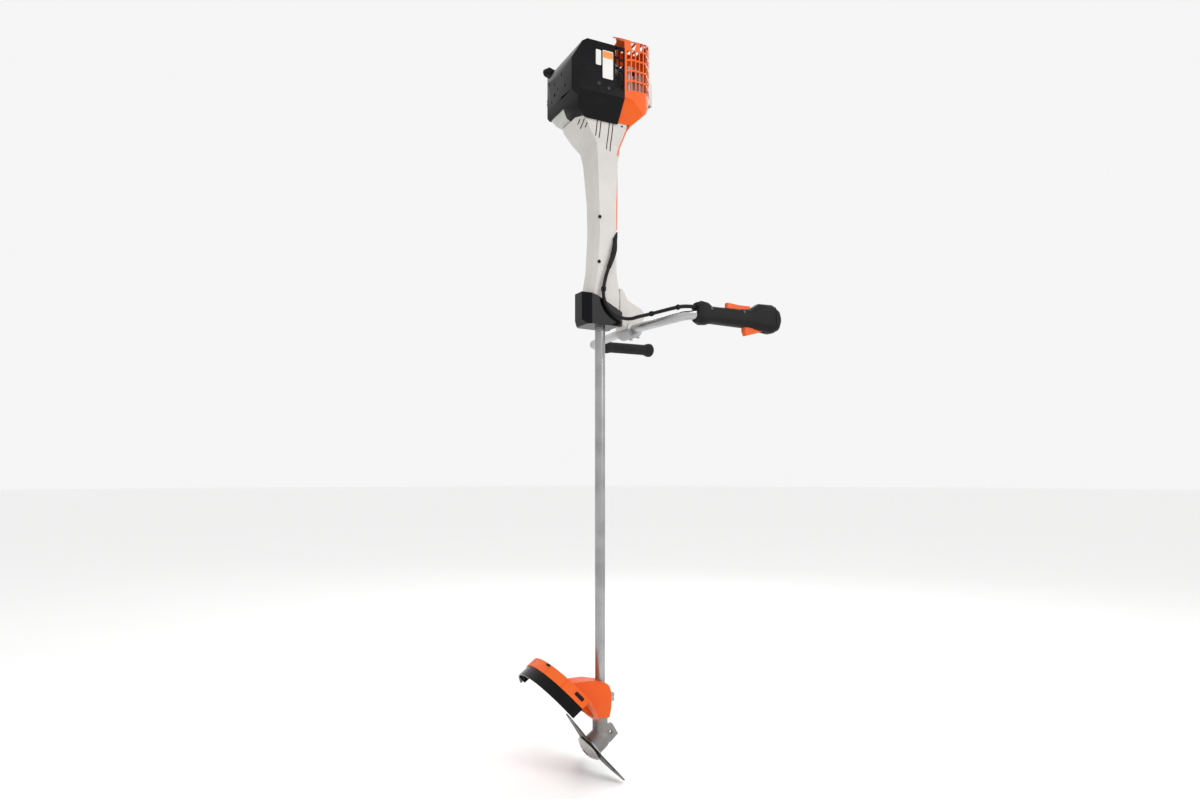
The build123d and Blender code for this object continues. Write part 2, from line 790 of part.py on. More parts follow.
def make_throttle_trigger():
    x, z = trigger_pivot
    outline = [(x - 4, z + 4), (x - 40, z + 12), (x - 54, z + 10), (x - 54, z - 12), (x - 49, z - 22),
               (x - 26, z - 16), (x + 2, z - 8), (x + 4, z)]
    trigger = prism_y(outline, -bar_reach - 7, -bar_reach + 7)
    trigger += cylinder_along((x, -bar_reach - 7, z), (0, 1, 0), 4.5, 14)
    return trigger - cylinder_along((x, -bar_reach - 10, z), (0, 1, 0), 2.0 + run_fit, 20)


def make_lockout_lever():
    x, z = lockout_pivot
    outline = [(x + 3, z - 3), (x + 4, z + 12), (x - 28, z + 12), (x - 61, z + 15), (x - 62, z + 2),
               (x - 20, z + 1)]
    lever = prism_y(outline, -bar_reach - 5.5, -bar_reach + 5.5)
    return lever - cylinder_along((x, -bar_reach - 10, z), (0, 1, 0), 2.0 + run_fit, 20)


def make_stop_button():
    x, z = stop_centre
    return cylinder_along((x, -bar_reach + 12, z), (0, 1, 0), 6.0, 12)


# ---- throttle cable ----

def cable_route_rear():
    return [
        (22, -36.5, 212),
        (19, -42, 180),
        (8, -43, 150),
        (-4, -43, 120),
        (-12, -44, 90),
        (-15, -46, 62),
        (-5, -48, 36),
        (16, -51, 19),
        (36, -56, 11),
        (51, -70, 9),
        (51, -84, 9),
    ]


def cable_route_front():
    return [
        (51, -85.5, 9),
        (51, -100, 9),
        (60, -122, 10),
        (74, -146, 13),
        (87, -175, 16),
        (92, -204, 16),
        (92, -230, 14),
        (93, -250, 11),
        (106, -bar_reach, 10),
        (handle_start + 3, -bar_reach, 10),
    ]


def make_cable(route):
    return tube_along(route, arc_radii(route, cable_arc_share), cable_radius)


# ---- gear head ----

def on_gear_axis(distance):
    return gear_point + gear_axis * distance


def make_gear_head():
    head = disc(19.0, gear_height + 18, -905)
    head += Pos(0, 0, gear_height) * Sphere(26.0)
    head += cylinder_along(on_gear_axis(0), gear_axis, 27.0, 24)
    lug = [(12, -1000), (32, -997), (49, -1025), (29, -1042), (14, -1048)]
    head += prism_y(lug, -lug_thickness / 2, lug_thickness / 2)
    head -= disc(tube_radius, tube_bottom, -905)
    head -= disc(13.0, gear_height, tube_bottom)
    head -= cylinder_along(on_gear_axis(-11), gear_axis, 22.0, 38)
    head -= cylinder_along((lug_centre[0], -20, lug_centre[1]), (0, 1, 0), lug_bore_radius, 40)
    for z in guard_screws:
        head -= cylinder_along((10, 0, z), (1, 0, 0), 2.5, 20)
    return largest_solid(head)


def make_pinion():
    """The small bevel gear, splined to the drive shaft."""
    low = gear_height + 13
    pinion = Pos(0, 0, low + 4) * Cone(7.0, 11.0, 8)
    pinion += disc(6.0, low + 8, tube_bottom + 2)
    pinion -= disc(shaft_radius, gear_height + 52, tube_bottom + 10)
    return pinion


def make_output_shaft():
    """The output shaft with its large bevel gear and the threaded end for the blade nut."""
    plane = Plane(origin=on_gear_axis(3), z_dir=gear_axis)
    shaft = plane * Cone(13.0, 20.5, 7, align=(Align.CENTER, Align.CENTER, Align.MIN))
    shaft += cylinder_along(on_gear_axis(10), gear_axis, 8.0, 12)
    return shaft + cylinder_along(on_gear_axis(22), gear_axis, 6.0, 26)


def make_thrust_plate():
    plate = ring_along(on_gear_axis(25), gear_axis, 29.0, 6.0, arm_to_blade - 25)
    spigot = ring_along(on_gear_axis(arm_to_blade), gear_axis, blade_bore_radius - 0.1, 6.0, blade_thickness)
    return plate + spigot


def tooth_outline():
    """One knife tooth: a wide root that narrows to a tip leading to one side."""
    return [(20, -32), (58, -23), (98, -20), (blade_radius, -13), (112, -2), (76, 18), (40, 29), (20, 32)]


def make_blade():
    plane = Plane(origin=on_gear_axis(arm_to_blade), x_dir=-back_direction, z_dir=-gear_axis)
    blade = Circle(36.0)
    for index in range(blade_teeth):
        turn = blade_rest_angle + index * 360 / blade_teeth
        blade += Rot(0, 0, turn) * Polygon(*tooth_outline(), align=None)
    for index in range(blade_teeth):
        turn = math.radians(blade_rest_angle + 60 + index * 360 / blade_teeth)
        blade -= Pos(26 * math.cos(turn), 26 * math.sin(turn)) * Circle(2.5)
    blade -= Circle(blade_bore_radius)
    return extrude(plane * blade, blade_thickness, dir=gear_axis)


def make_rider_plate():
    """The domed cup that slides on the ground under the blade."""
    start = arm_to_blade + blade_thickness
    plane = Plane(origin=on_gear_axis(start), z_dir=gear_axis)
    profile = [(8, 0), (24, 0), (24, 1.5), (rider_radius, 1.5), (rider_radius, 4), (30, 11), (20, 16),
               (11, 17.5),
               (11, 14.5), (19, 13.5), (28, 8.5), (31, 4.5), (8, 4.5)]
    section = Plane.XZ * Polygon(*profile, align=None)
    return plane * revolve(section, Axis.Z)


def make_blade_nut():
    start = on_gear_axis(arm_to_blade + blade_thickness + 4.5)
    plane = Plane(origin=start, z_dir=gear_axis)
    nut = extrude(plane * RegularPolygon(10.5, 6), 9)
    return nut - cylinder_along(start, gear_axis, 6.0, 20)


# ---- deflector ----

def guard_plane(height):
    """A plane level with the blade, a height above it towards the gear head."""
    origin = on_gear_axis(arm_to_blade) - gear_axis * height
    return Plane(origin=origin, x_dir=back_direction, z_dir=-gear_axis)


def guard_arc(radius, start_angle, end_angle):
    """Points of the rim's arc, with the plane's y pointing to the right side."""
    points = []
    steps = 12
    for index in range(steps + 1):
        angle = math.radians(start_angle + (end_angle - start_angle) * index / steps)
        along = guard_forward + radius * math.cos(angle)
        across = -(guard_side + radius * math.sin(angle))
        points.append((along, across))
    return points


def guard_band(outer, inner, low, height):
    """A curved wall between two radii of the rim."""
    face = Polygon(*guard_arc(outer, guard_near_angle, guard_far_angle),
                   *reversed(guard_arc(inner, guard_near_angle, guard_far_angle)), align=None)
    return extrude(guard_plane(low) * face, height, dir=-gear_axis)


def make_deflector():
    rim = guard_band(guard_radius, guard_radius - guard_wall, guard_base, guard_height)
    plate_face = Polygon(*guard_arc(guard_radius, guard_near_angle, guard_far_angle),
                         (72, -56), (52, -30), (52, 30), (72, 56), align=None)
    plate_plane = guard_plane(guard_base + guard_height - guard_wall)
    plate = extrude(plate_plane * plate_face, guard_wall, dir=-gear_axis)
    hub_side = [(-30, -970), (14, -976), (20, -950), (20, -914), (14, -896), (2, -887),
                (-40, -878), (-96, -878),
                (-118, -906), (-74, -942)]
    hub = prism_y(hub_side, -24, 24)
    hub = chamfer(hub.edges().filter_by(Axis.Y), 3)
    hub -= prism_y([(-30, -990), (-24, -900), (-88, -886), (-112, -910), (-70, -952)], -20, 20)
    guard = rim + plate + hub
    guard -= disc(tube_radius, -1000, -904)
    guard -= disc(tube_radius, -905, -860)
    guard -= disc(19.3, -1000, -904.5)
    for z in guard_screws:
        guard -= cylinder_along((10, 0, z), (1, 0, 0), 2.5, 20)
    return largest_solid(guard)


def make_skirt():
    low = guard_base - skirt_depth
    band = guard_band(guard_radius - guard_wall - 0.1, guard_radius - guard_wall - 3.1, low, skirt_depth + 12)
    for index in range(7):
        angle = math.radians(guard_near_angle + 8 + index * 14)
        along = guard_forward + (guard_radius - 14) * math.cos(angle)
        across = -(guard_side + (guard_radius - 14) * math.sin(angle))
        rib = Pos(along, across) * Rot(0, 0, -math.degrees(angle)) * Rectangle(16, 2.4)
        band += extrude(guard_plane(low + 4) * rib, skirt_depth, dir=-gear_axis)
    return largest_solid(band)


def make_all():
    """Every sub-part by its name."""
    housing_right, housing_left = make_housing_halves()
    handle_outer, handle_inner = make_handle_halves()
    return {
        "drive_tube": make_drive_tube(),
        "shaft_bushings": make_bushings(),
        "drive_shaft": make_drive_shaft(),
        "clutch_drum": make_clutch_drum(),
        "clutch_bell": make_clutch_bell(),
        "crankcase": make_crankcase(),
        "ball_bearings": make_ball_bearings(),
        "crankshaft": make_crankshaft(),
        "clutch_shoes": make_clutch_shoes(),
        "cylinder": make_cylinder(),
        "piston": make_piston(),
        "connecting_rod": make_connecting_rod(),
        "spark_plug": make_spark_plug(),
        "plug_boot": make_plug_boot(),
        "flywheel": make_flywheel(),
        "ignition_coil": make_ignition_coil(),
        "muffler": make_muffler(),
        "carburettor": make_carburettor(),
        "throttle_lever": make_throttle_lever(),
        "fuel_tank": make_fuel_tank(),
        "tank_cap": make_tank_cap(),
        "filter_base": make_filter_base(),
        "air_filter": make_air_filter(),
        "filter_cover": make_filter_cover(),
        "choke_lever": make_choke_lever(),
        "primer_bulb": make_primer_bulb(),
        "rope_pulley": make_rope_pulley(),
        "recoil_spring": make_recoil_spring(),
        "starter_rope": make_starter_rope(),
        "starter_grip": make_starter_grip(),
        "engine_cover": make_engine_cover(),
        "starter_cover": make_starter_cover(),
        "shroud": make_shroud(),
        "housing_right": housing_right,
        "housing_left": housing_left,
        "spine": make_spine(),
        "front_collar": make_front_collar(),
        "tube_buffers": make_buffers(),
        "bar_support": make_bar_support(),
        "clamp_cap": make_clamp_cap(),
        "frame_screws": make_frame_screws(),
        "handlebar": make_handlebar(),
        "left_grip": make_left_grip(),
        "handle_outer": handle_outer,
        "handle_inner": handle_inner,
        "handle_fasteners": make_handle_fasteners(),
        "throttle_trigger": make_throttle_trigger(),
        "lockout_lever": make_lockout_lever(),
        "stop_button": make_stop_button(),
        "throttle_cable_rear": make_cable(cable_route_rear()),
        "throttle_cable_front": make_cable(cable_route_front()),
        "gear_head": make_gear_head(),
        "pinion": make_pinion(),
        "output_shaft": make_output_shaft(),
        "thrust_plate": make_thrust_plate(),
        "blade": make_blade(),
        "rider_plate": make_rider_plate(),
        "blade_nut": make_blade_nut(),
        "deflector": make_deflector(),
        "deflector_skirt": make_skirt(),
    }


os.makedirs("parts", exist_ok=True)
for part_name, part_shape in make_all().items():
    save(part_name, part_shape)
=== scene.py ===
import json
import math
import bmesh
import bpy
import numpy as np
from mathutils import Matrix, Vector


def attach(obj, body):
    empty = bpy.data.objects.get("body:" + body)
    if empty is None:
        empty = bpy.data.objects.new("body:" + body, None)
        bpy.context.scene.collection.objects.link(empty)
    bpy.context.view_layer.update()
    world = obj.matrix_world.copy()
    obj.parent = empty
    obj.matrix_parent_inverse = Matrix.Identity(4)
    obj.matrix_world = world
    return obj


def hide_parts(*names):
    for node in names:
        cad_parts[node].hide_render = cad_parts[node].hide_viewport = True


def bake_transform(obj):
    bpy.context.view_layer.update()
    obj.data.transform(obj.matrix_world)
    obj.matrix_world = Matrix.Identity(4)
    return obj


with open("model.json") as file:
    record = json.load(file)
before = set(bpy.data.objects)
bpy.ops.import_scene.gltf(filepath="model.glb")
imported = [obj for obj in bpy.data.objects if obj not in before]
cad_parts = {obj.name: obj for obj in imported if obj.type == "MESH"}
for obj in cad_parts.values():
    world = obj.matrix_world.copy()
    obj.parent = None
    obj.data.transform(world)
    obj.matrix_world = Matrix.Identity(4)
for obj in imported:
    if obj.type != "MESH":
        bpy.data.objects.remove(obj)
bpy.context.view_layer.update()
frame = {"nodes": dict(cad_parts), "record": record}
nodes = frame["nodes"]
# the middle of the gear head, and the direction of the knife's axis
gearTilt = math.radians(37)
gearPoint = np.array((0.0, 0.0, -1.030))
gearAxis = np.array((-math.cos(gearTilt), 0.0, -math.sin(gearTilt)))
print("frame loaded:", len(nodes), "nodes")


class Val:
    # a shader value that can be added, multiplied and so on

    def __init__(self, finish, socket):
        self.finish = finish
        self.socket = socket

    def mathNode(self, operation, first, second):
        made = self.finish.node("ShaderNodeMath", {"operation": operation}, {0: first, 1: second})
        return Val(self.finish, made.outputs[0])

    def __add__(self, other):
        return self.mathNode("ADD", self, other)

    def __radd__(self, other):
        return self.mathNode("ADD", other, self)

    def __sub__(self, other):
        return self.mathNode("SUBTRACT", self, other)

    def __rsub__(self, other):
        return self.mathNode("SUBTRACT", other, self)

    def __mul__(self, other):
        return self.mathNode("MULTIPLY", self, other)

    def __rmul__(self, other):
        return self.mathNode("MULTIPLY", other, self)

    def __pow__(self, other):
        return self.mathNode("POWER", self, other)

    def step(self, low, high):
        # 0 below low, 1 above high, smooth between
        made = self.finish.node("ShaderNodeMapRange", {"interpolation_type": "SMOOTHSTEP"},
                                {"Value": self, "From Min": low, "From Max": high})
        return Val(self.finish, made.outputs["Result"])


class Finish:
    # one material under construction

    def __init__(self, name):
        self.material = bpy.data.materials.new(name)
        self.material.use_nodes = True
        self.tree = self.material.node_tree
        self.shader = self.tree.nodes["Principled BSDF"]
        self.coordinates = self.node("ShaderNodeTexCoord").outputs["Object"]

    def node(self, kind, settings=None, inputs=None):
        made = self.tree.nodes.new(kind)
        for key, value in (settings or {}).items():
            setattr(made, key, value)
        for key, value in (inputs or {}).items():
            if isinstance(value, Val):
                value = value.socket
            if isinstance(value, bpy.types.NodeSocket):
                self.tree.links.new(value, made.inputs[key])
            else:
                made.inputs[key].default_value = value
        return made

    def place(self, stretch=(1, 1, 1), turn=(0, 0, 0)):
        return self.node("ShaderNodeMapping", None,
                         {"Vector": self.coordinates, "Scale": stretch, "Rotation": turn}).outputs[0]

    def noise(self, scale, detail=3.0, stretch=(1, 1, 1), turn=(0, 0, 0), roughness=0.55):
        made = self.node("ShaderNodeTexNoise", None,
                         {"Vector": self.place(stretch, turn), "Scale": scale, "Detail": detail,
                          "Roughness": roughness})
        return Val(self, made.outputs["Fac"])

    def axis(self, name):
        made = self.node("ShaderNodeSeparateXYZ", None, {"Vector": self.coordinates})
        return Val(self, made.outputs[name])

    def mix(self, factor, first, second):
        first, second = (((*value, 1.0) if isinstance(value, tuple) else value) for value in (first,
                                                                                              second))
        return self.node("ShaderNodeMix", {"data_type": "RGBA"},
                         {0: factor, 6: first, 7: second}).outputs[2]

    def color(self, socket):
        self.tree.links.new(socket, self.shader.inputs["Base Color"])

    def send(self, value, name):
        self.tree.links.new(value.socket, self.shader.inputs[name])

    def fixed(self, **values):
        for key, value in values.items():
            self.shader.inputs[key.replace("_", " ")].default_value = value

    def bump(self, height, strength, distance):
        made = self.node("ShaderNodeBump", None,
                         {"Strength": strength, "Distance": distance, "Height": height})
        self.tree.links.new(made.outputs["Normal"], self.shader.inputs["Normal"])


def mouldedPlastic(name, look):
    # a coloured plastic: slow blotches in colour, fine grain in the surface, a little dust and fine scratches
    finish = Finish(name)
    blotch = finish.noise(look.get("blotch", 9.0), 4.0)
    grain = finish.noise(look.get("grain", 900.0), 2.0)
    scratch = finish.noise(60.0, 5.0, stretch=(1.0, 6.0, 14.0), turn=(0.3, 0.5, 0.2)).step(0.56, 0.62)
    dust = finish.noise(26.0, 6.0).step(0.48, 0.72)
    base = finish.mix(blotch.step(0.3, 0.7), look["color"], look["second"])
    base = finish.mix(dust * look.get("dust", 0.08), base, (0.42, 0.38, 0.31))
    finish.color(base)
    finish.send(grain * 0.06 + blotch * look.get("spread", 0.1) + scratch * 0.08 + dust * look.get("dust",
                                                                                                   0.08)
                + look["roughness"] - 0.08, "Roughness")
    finish.fixed(Coat_Weight=look.get("coat", 0.0), Coat_Roughness=0.06,
                 Specular_IOR_Level=look.get("level", 0.5))
    finish.bump(grain * look.get("grainDepth", 0.6) + scratch * 0.15, look.get("bump", 0.25), 0.0004)
    return finish.material


def workedMetal(name, look):
    # a metal: long fine streaks along the piece, wider tarnish and small specks
    finish = Finish(name)
    streak = finish.noise(look.get("streak", 260.0), 4.0, stretch=look.get("stretch", (1, 1, 0.02)))
    tarnish = finish.noise(14.0, 5.0)
    speck = finish.noise(420.0, 3.0).step(0.62, 0.72)
    base = finish.mix(tarnish.step(0.35, 0.7), look["color"], look["second"])
    base = finish.mix(speck * 0.35, base, tuple(part * 0.5 for part in look["second"]))
    finish.color(base)
    finish.send(streak * look.get("spread",
                                  0.22) + tarnish * 0.14 + speck * 0.12 + look["roughness"] - 0.18,
                "Roughness")
    finish.fixed(Metallic=look.get("metallic", 1.0), IOR=1.5)
    finish.bump(streak * 0.4 + finish.noise(look.get("cast", 300.0), 3.0) * look.get("castDepth", 0.2),
                look.get("bump", 0.2), 0.0005)
    return finish.material


def knifeSteel(name, look):
    # dark hardened steel, scraped bright towards the tooth tips, with grass stain near the middle
    finish = Finish(name)
    x, y, z = (finish.axis(part) for part in "XYZ")
    rise = z - float(gearPoint[2])
    distance = (x * x + y * y + rise * rise) ** 0.5
    scrape = finish.noise(190.0, 5.0, stretch=(1, 0.15, 1))
    stain = finish.noise(34.0, 5.0)
    worn = (distance + scrape * 0.03).step(0.105, 0.128)
    base = finish.mix(stain.step(0.4, 0.65), look["color"], look["second"])
    base = finish.mix(worn, base, look["edge"])
    finish.color(base)
    finish.send(scrape * 0.25 + 0.3 - worn * 0.1, "Roughness")
    finish.fixed(Metallic=0.85, IOR=1.5)
    finish.bump(scrape * 0.5 + stain * 0.3, 0.3, 0.0005)
    return finish.material


def softRubber(name, look):
    # matt rubber with a fine pebble and greyed high places
    finish = Finish(name)
    pebble = finish.noise(1400.0, 2.0)
    bloom = finish.noise(22.0, 5.0)
    finish.color(finish.mix(bloom.step(0.4, 0.7), look["color"], look["second"]))
    finish.send(pebble * 0.12 + bloom * 0.1 + look["roughness"] - 0.08, "Roughness")
    finish.fixed(Specular_IOR_Level=0.2)
    finish.bump(pebble, 0.3, 0.0003)
    return finish.material


def braidedCord(name, look):
    # a braid: two sets of slanting strands crossing
    finish = Finish(name)
    strands = 1.0
    for turn in ((0, 0, 0.7), (0, 0.7, -0.7)):
        wave = finish.node("ShaderNodeTexWave", None, {"Vector": finish.place((1, 1, 1), turn),
                                                       "Scale": 220.0})
        strands = strands * Val(finish, wave.outputs["Fac"])
    finish.color(finish.mix(strands, look["second"], look["color"]))
    finish.send(strands * 0.1 + look["roughness"], "Roughness")
    finish.bump(strands, 0.5, 0.0006)
    return finish.material


looks = {
    "tubeMetal": {"color": (0.40, 0.40, 0.40), "second": (0.31, 0.31, 0.32), "roughness": 0.34,
                  "spread": 0.2},
    "plainSteel": {"color": (0.50, 0.50, 0.51), "second": (0.34, 0.34, 0.35), "roughness": 0.36},
    "riderSteel": {"color": (0.50, 0.485, 0.46), "second": (0.36, 0.345, 0.325), "roughness": 0.30,
                   "stretch": (1, 0.1, 1)},
    # steel screw heads coloured near black: painted shade of the dark recesses they sit in
    "recessShadeSteel": {"color": (0.055, 0.055, 0.058), "second": (0.035, 0.035, 0.036), "roughness": 0.38},
    "castMetal": {"color": (0.44, 0.44, 0.45), "second": (0.34, 0.34, 0.35), "roughness": 0.56,
                  "castDepth": 1.0,
                  "bump": 0.5},
    "headMetal": {"color": (0.30, 0.285, 0.28), "second": (0.22, 0.21, 0.205), "roughness": 0.55,
                  "metallic": 0.6,
                  "castDepth": 1.2, "bump": 0.6},
    "barMetal": {"color": (0.50, 0.50, 0.505), "second": (0.40, 0.40, 0.405), "roughness": 0.30,
                 "metallic": 0.9,
                 "stretch": (1, 0.02, 1)},
    "greyShell": {"color": (0.58, 0.555, 0.53), "second": (0.53, 0.508, 0.482), "roughness": 0.46,
                  "bump": 0.35},
    "paleCover": {"color": (0.62, 0.61, 0.57), "second": (0.52, 0.50, 0.45), "roughness": 0.52,
                  "dust": 0.2},
    "glossBlack": {"color": (0.004, 0.004, 0.005), "second": (0.006, 0.006, 0.007), "roughness": 0.16,
                   "level": 0.10,
                   "spread": 0.05, "grainDepth": 0.1, "dust": 0.004, "bump": 0.08},
    "plainBlack": {"color": (0.007, 0.007, 0.008), "second": (0.012, 0.012, 0.013), "roughness": 0.46,
                   "bump": 0.3,
                   "level": 0.10, "dust": 0.004},
    "orange": {"color": (0.80, 0.118, 0.006), "second": (0.72, 0.095, 0.005), "roughness": 0.36,
               "level": 0.25,
               "dust": 0.03},
    "tankPlastic": {"color": (0.72, 0.72, 0.69), "second": (0.60, 0.60, 0.56), "roughness": 0.30,
                    "grainDepth": 0.2},
    "bushingPlastic": {"color": (0.08, 0.08, 0.085), "second": (0.06, 0.06, 0.065), "roughness": 0.4},
    "filterFoam": {"color": (0.30, 0.18, 0.09), "second": (0.16, 0.10, 0.06), "roughness": 0.85,
                   "grain": 320.0,
                   "grainDepth": 1.4, "bump": 0.8},
    "labelPaper": {"color": (0.70, 0.69, 0.665), "second": (0.64, 0.63, 0.60), "roughness": 0.4,
                   "dust": 0.12},
    "labelOrange": {"color": (0.78, 0.26, 0.03), "second": (0.72, 0.22, 0.02), "roughness": 0.4,
                    "dust": 0.12},
    "blackRubber": {"color": (0.007, 0.007, 0.007), "second": (0.013, 0.013, 0.0125), "roughness": 0.6},
    "cableSkin": {"color": (0.006, 0.006, 0.006), "second": (0.011, 0.011, 0.011), "roughness": 0.46},
    "ropeBraid": {"color": (0.62, 0.60, 0.54), "second": (0.20, 0.19, 0.17), "roughness": 0.7},
    "knife": {"color": (0.035, 0.035, 0.035), "second": (0.055, 0.052, 0.045), "edge": (0.16, 0.155, 0.15)},
}
makers = {"tubeMetal": workedMetal, "plainSteel": workedMetal, "riderSteel": workedMetal,
          "castMetal": workedMetal, "recessShadeSteel": workedMetal,
          "headMetal": workedMetal, "barMetal": workedMetal, "blackRubber": softRubber,
          "cableSkin": softRubber,
          "ropeBraid": braidedCord, "knife": knifeSteel}
finishes = {name: makers.get(name, mouldedPlastic)(name, look) for name, look in looks.items()}
finishes["tankPlastic"].node_tree.nodes["Principled BSDF"].inputs["Transmission Weight"].default_value = 0.25

slotFinish = {"tube_alu": "tubeMetal", "steel": "plainSteel", "rider_steel": "riderSteel",
              "blade_steel": "knife",
              "cast_alu": "castMetal", "head_cast": "headMetal", "bar_paint": "barMetal",
              "grey_plastic": "greyShell", "black_gloss": "glossBlack", "black_plastic": "plainBlack",
              "orange_plastic": "orange", "tank_plastic": "tankPlastic", "cover_plastic": "paleCover",
              "rubber": "blackRubber", "bushing": "bushingPlastic", "felt": "filterFoam",
              "rope": "ropeBraid"}
nodeSlot = {entry["node"]: entry["material_slot"] for entry in frame["record"]["subparts"]}
# the handle fasteners take the near-black steel, which is painted shade of their recesses
nodeFinish = {"handle_fasteners": "recessShadeSteel", "front_collar": "glossBlack"}
nodeBody = {node: body for body,
            members in frame["record"]["behaviour"]["bodies"].items() for node in members}
for name, piece in nodes.items():
    piece.data.materials.clear()
    piece.data.materials.append(finishes[nodeFinish.get(name, slotFinish[nodeSlot[name]])])
print("finishes made:", len(finishes))


def settle(piece, finish, body, replaced=()):
    # a finished piece gets its material and its body, and the CAD parts it replaces are hidden
    piece.data.materials.clear()
    piece.data.materials.append(finishes[finish])
    if body:
        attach(piece, body)
    if replaced:
        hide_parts(*replaced)
    return piece


def weld(mesh, distance=0.00002):
    work = bmesh.new()
    work.from_mesh(mesh)
    bmesh.ops.remove_doubles(work, verts=work.verts, dist=distance)
    bmesh.ops.dissolve_degenerate(work, edges=work.edges, dist=0.000001)
    work.to_mesh(mesh)
    work.free()


def surface(name, sheets, smoothAngle=40.0, fixNormals=True):
    # sheets is a list of grids of points, rows by columns, each joined into quads; shared edges are welded
    points, faces, start = [], [], 0
    for grid in sheets:
        rows, columns = grid.shape[:2]
        corner = np.arange(rows * columns).reshape(rows, columns) + start
        quads = np.stack([corner[:-1, :-1], corner[:-1, 1:], corner[1:, 1:], corner[1:, :-1]], -1)
        points.append(grid.reshape(-1, 3))
        faces.append(quads.reshape(-1, 4))
        start += rows * columns
    mesh = bpy.data.meshes.new(name)
    mesh.from_pydata(np.concatenate(points).tolist(), [], np.concatenate(faces).tolist())
    weld(mesh)
    if fixNormals:
        work = bmesh.new()
        work.from_mesh(mesh)
        bmesh.ops.recalc_face_normals(work, faces=work.faces)
        work.to_mesh(mesh)
        work.free()
    mesh.shade_smooth()
    mesh.set_sharp_from_angle(angle=math.radians(smoothAngle))
    piece = bpy.data.objects.new(name, mesh)
    bpy.context.scene.collection.objects.link(piece)
    return piece


def acrossAxis(axis):
    axis = np.array(axis, float) / np.linalg.norm(axis)
    guess = np.array((0.0, 0.0, 1.0)) if abs(axis[2]) < 0.9 else np.array((1.0, 0.0, 0.0))
    side = np.cross(axis, guess)
    side /= np.linalg.norm(side)
    return axis, side, np.cross(axis, side)


def turned(origin, axis, profile, sides=64):
    # a profile of (along, radius) turned about an axis: origin + along*axis + radius*(cos*side + sin*up)
    axis, side, up = acrossAxis(axis)
    along, radius = np.array(profile, float).T
    angle = np.linspace(0, 2 * math.pi, sides + 1)
    ring = np.cos(angle)[:, None] * side + np.sin(angle)[:, None] * up
    return np.array(origin) + along[:, None, None] * axis + radius[:, None, None] * ring[None]


def swept(points, radii, reference, sides=20):
    # circles of the given radii set square to a path, with end caps drawn in to a point
    points = np.array(points, float)
    radii = np.broadcast_to(np.array(radii, float), (len(points),))
    along = np.gradient(points, axis=0)
    along /= np.linalg.norm(along, axis=1)[:, None]
    side = np.cross(along, np.array(reference, float))
    side /= np.linalg.norm(side, axis=1)[:, None]
    up = np.cross(along, side)
    angle = np.linspace(0, 2 * math.pi, sides + 1)
    ring = np.cos(angle)[None, :, None] * side[:, None] + np.sin(angle)[None, :, None] * up[:, None]
    tube = points[:, None] + radii[:, None, None] * ring
    first = np.repeat(points[:1, None], sides + 1, axis=1)
    last = np.repeat(points[-1:, None], sides + 1, axis=1)
    return np.concatenate([first, tube, last])


def slab(centre, right, up, size, corner, thick):
    # a thin plate with round corners and a softened rim:
    # rings of a rounded rectangle, the last ones drawn to the middle
    right = np.array(right, float) / np.linalg.norm(right)
    up = np.array(up, float) / np.linalg.norm(up)
    out = np.cross(right, up)
    width, height = size[0] / 2 - corner, size[1] / 2 - corner
    angle = np.linspace(0, 2 * math.pi, 33)[:-1] + math.pi / 32
    spotX = np.sign(np.cos(angle)) * width + corner * np.cos(angle)
    spotY = np.sign(np.sin(angle)) * height + corner * np.sin(angle)
    spotX, spotY = np.append(spotX, spotX[0]), np.append(spotY, spotY[0])
    rings = []
    for share, level in ((0.0, 0.0), (1.0, 0.0), (1.0, 0.6), (0.985, 1.0), (0.0, 1.0)):
        rings.append(np.array(centre) + (spotX * share)[:, None] * right + (spotY * share)[:, None] * up
                     + level * thick * out)
    return np.stack(rings)


def softened(node, width, angle=30.0, segments=2):
    # a copy of a CAD piece, its triangles merged and its edges rounded
    source = nodes[node]
    mesh = source.data.copy()
    mesh.name = node + "Soft"
    weld(mesh)
    work = bmesh.new()
    work.from_mesh(mesh)
    bmesh.ops.dissolve_limit(work, angle_limit=math.radians(0.05), verts=work.verts, edges=work.edges)
    work.to_mesh(mesh)
    work.free()
    piece = bpy.data.objects.new(node + "Soft", mesh)
    bpy.context.scene.collection.objects.link(piece)
    bevel = piece.modifiers.new("roundEdges", "BEVEL")
    bevel.width = width
    bevel.segments = segments
    bevel.limit_method = "ANGLE"
    bevel.angle_limit = math.radians(angle)
    bevel.harden_normals = False
    mesh.shade_smooth()
    mesh.set_sharp_from_angle(angle=math.radians(angle + 8))
    finish = nodeFinish.get(node, slotFinish[nodeSlot[node]])
    return settle(piece, finish, nodeBody[node], (node,))


roundings = {
    "engine_cover": 0.0012, "starter_cover": 0.0014, "shroud": 0.0013, "spine": 0.0012,
    "front_collar": 0.0014, "filter_cover": 0.0013,
    "bar_support": 0.0012, "clamp_cap": 0.0010, "gear_head": 0.0012, "deflector": 0.0010,
    "deflector_skirt": 0.0008, "handle_outer": 0.0008, "handle_inner": 0.0008, "throttle_trigger": 0.0012,
    "lockout_lever": 0.0012, "starter_grip": 0.0015, "fuel_tank": 0.0012, "tank_cap": 0.0010,
    "blade": 0.0004,
    "clutch_bell": 0.0010,
}
for node, width in roundings.items():
    softened(node, width)
print("edges rounded:", len(roundings))

